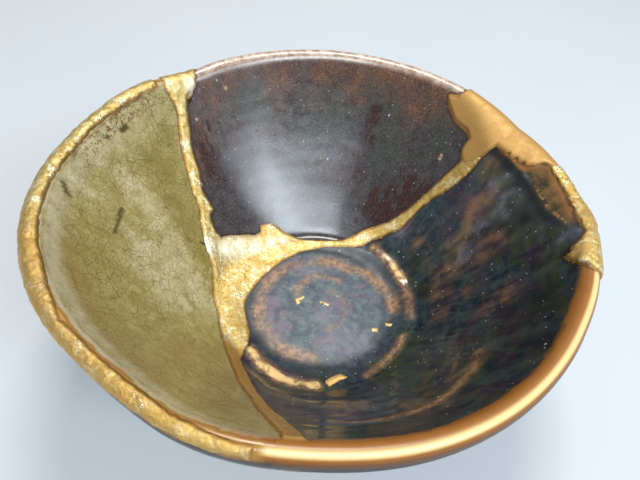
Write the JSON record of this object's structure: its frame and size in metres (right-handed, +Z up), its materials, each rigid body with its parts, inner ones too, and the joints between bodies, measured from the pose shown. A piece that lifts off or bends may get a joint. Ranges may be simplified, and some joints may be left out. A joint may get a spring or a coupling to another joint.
{
  "type": "kintsugi sake cup",
  "caption": "Wide hand-thrown stoneware sake cup on a foot ring, broken and mended with gold lacquer, with one sherd from another, crackle-glazed cup.",
  "frame": {"origin": "under the middle of the cup's bounding box, on the surface that the foot ring stands on", "axes": "+Z up through the mouth; seen from above with +Y away, the crackle-glazed sherd is on the left (-X) and the two gold rim repairs are on the right (+X)"},
  "size_m": [0.0834, 0.0816, 0.0384],
  "materials": {
    "tenmoku_glaze": "glossy blue-black iron glaze that breaks to amber on ridges and lip",
    "iron_glaze": "satin-glossy purple-brown iron glaze with rust streaks and specks",
    "crackle_glaze": "semi-gloss olive ochre glaze with a fine brown crackle and grey bloom",
    "gold_leaf": "bumpy burnished gold on lacquer",
    "gold_powder": "smooth satin orange gold on lacquer"
  },
  "bodies": {
    "root": {"tenmoku_sherd_with_foot": "tenmoku_glaze", "iron_glaze_sherd": "iron_glaze", "crackle_glaze_sherd": "crackle_glaze", "gold_joint": "gold_leaf", "gold_rim_fill": "gold_powder", "gold_rim_chip": "gold_leaf", "gold_rim_band": "gold_leaf"}
  },
  "joints": []
}
